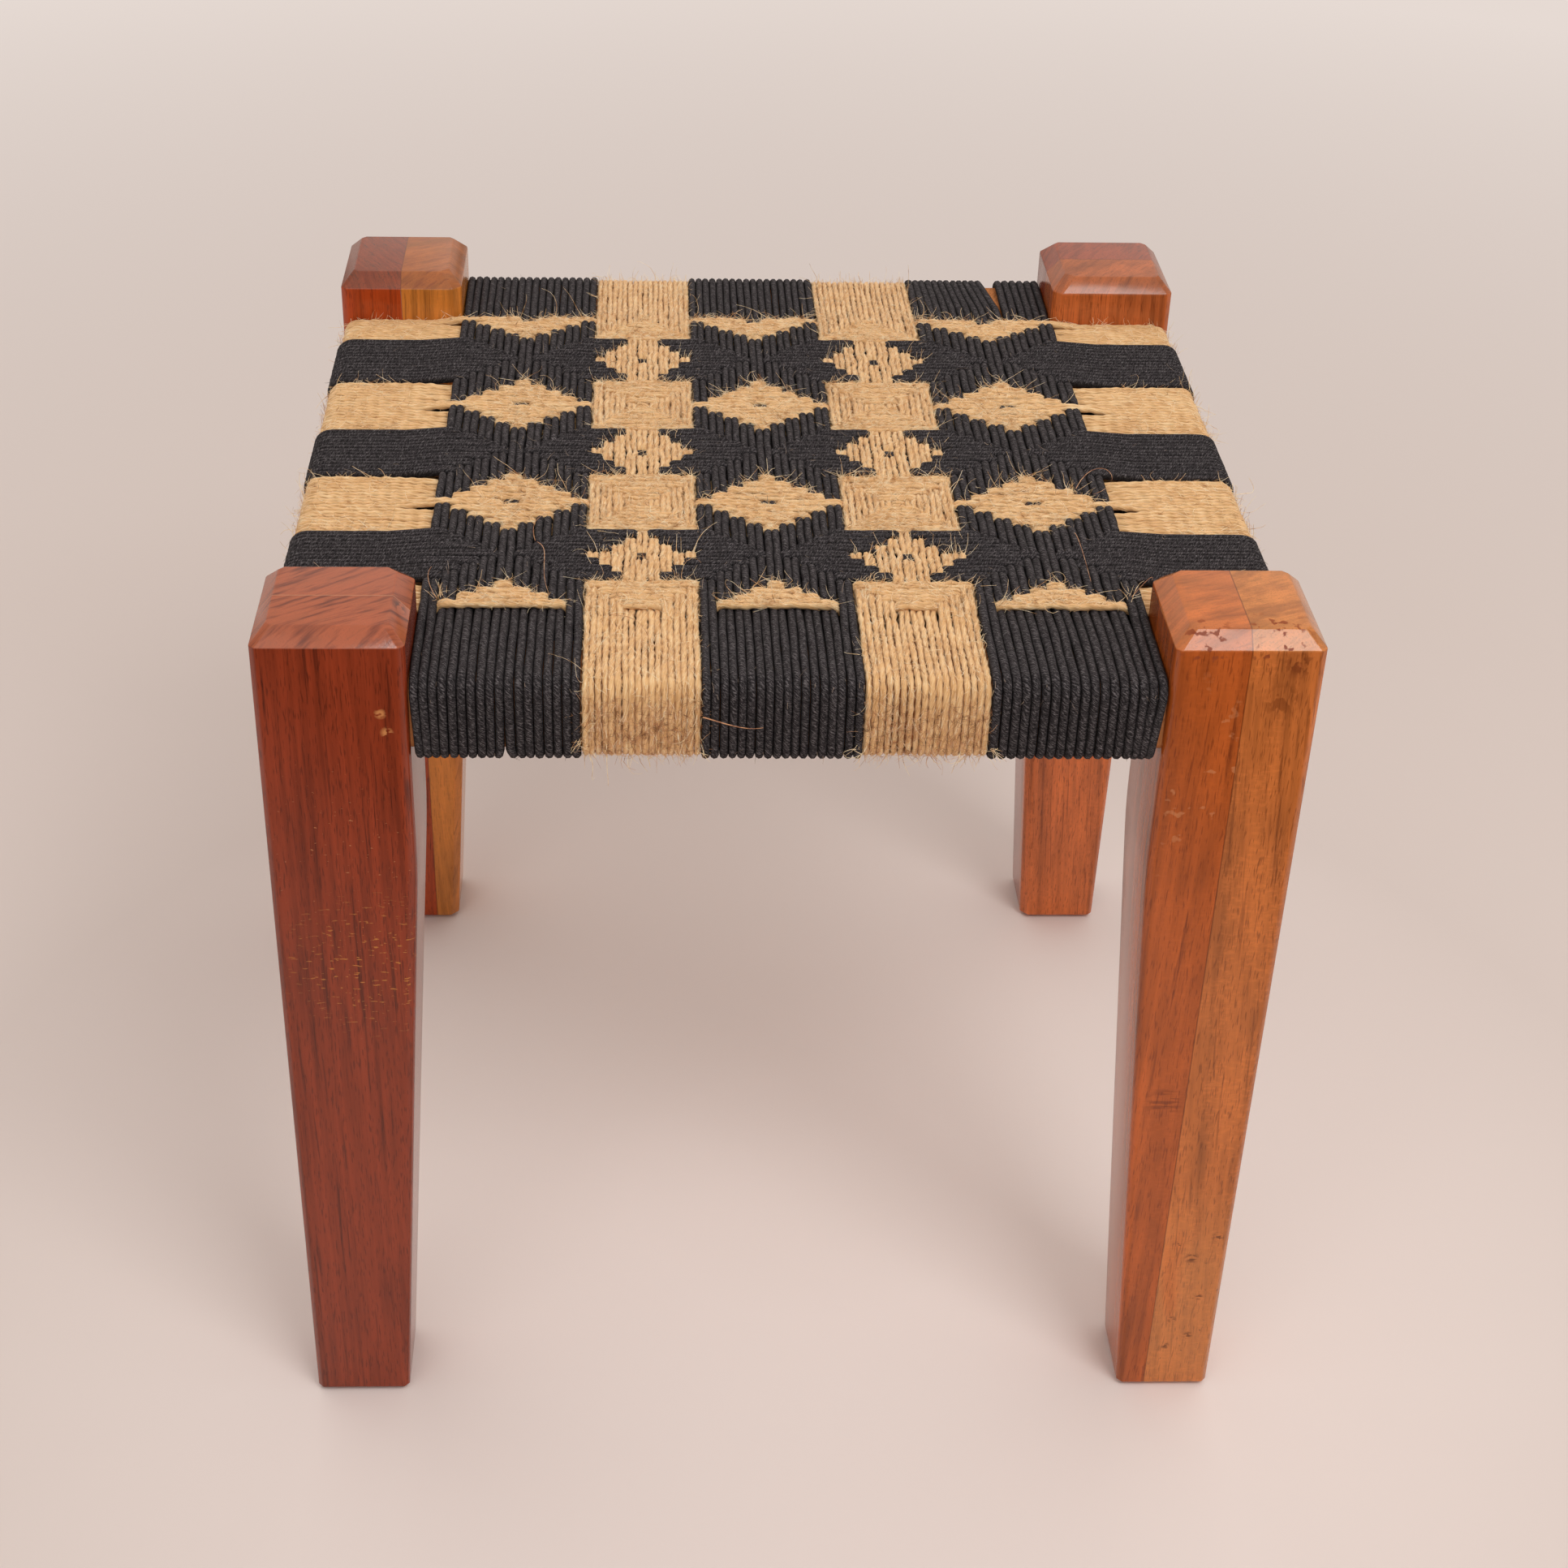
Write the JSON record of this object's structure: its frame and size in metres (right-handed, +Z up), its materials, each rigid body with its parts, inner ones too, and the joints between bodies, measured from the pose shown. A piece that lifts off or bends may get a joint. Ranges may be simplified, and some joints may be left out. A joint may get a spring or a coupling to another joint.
{
  "type": "woven stool",
  "caption": "Square stool with four thick tapered wooden legs and a seat of black cotton cord and natural jute twine, woven in a figured pattern over hidden rails.",
  "frame": {"origin": "on the floor, under the middle of the seat", "axes": "+Z up, +Y towards the rear edge (the wider jute edge band), +X to the right seen from the front"},
  "size_m": [0.456, 0.456, 0.445],
  "materials": {
    "wood_red": "gloss varnish",
    "wood_orange": "gloss varnish",
    "wood_tan": "gloss varnish",
    "wood_golden": "gloss varnish",
    "rail_wood": "bare, sawn",
    "cotton_cord": "matte braided cotton",
    "jute_twine": "matte twisted jute"
  },
  "bodies": {
    "root": {"leg_front_left_outer_board": "wood_red", "leg_front_left_inner_board": "wood_red", "leg_front_right_outer_board": "wood_tan", "leg_front_right_inner_board": "wood_orange", "leg_rear_right_outer_board": "wood_red", "leg_rear_right_inner_board": "wood_orange", "leg_rear_left_outer_board": "wood_red", "leg_rear_left_inner_board": "wood_golden", "rail_front": "rail_wood", "rail_rear": "rail_wood", "rail_left": "rail_wood", "rail_right": "rail_wood", "seat_lengthwise_cotton_left": "cotton_cord", "seat_lengthwise_jute_left": "jute_twine", "seat_lengthwise_cotton_middle": "cotton_cord", "seat_lengthwise_jute_right": "jute_twine", "seat_lengthwise_cotton_right": "cotton_cord", "seat_crosswise_jute_front_edge": "jute_twine", "seat_crosswise_cotton_front": "cotton_cord", "seat_crosswise_jute_front": "jute_twine", "seat_crosswise_cotton_middle": "cotton_cord", "seat_crosswise_jute_rear": "jute_twine", "seat_crosswise_cotton_rear": "cotton_cord", "seat_crosswise_jute_rear_edge": "jute_twine"}
  },
  "joints": []
}
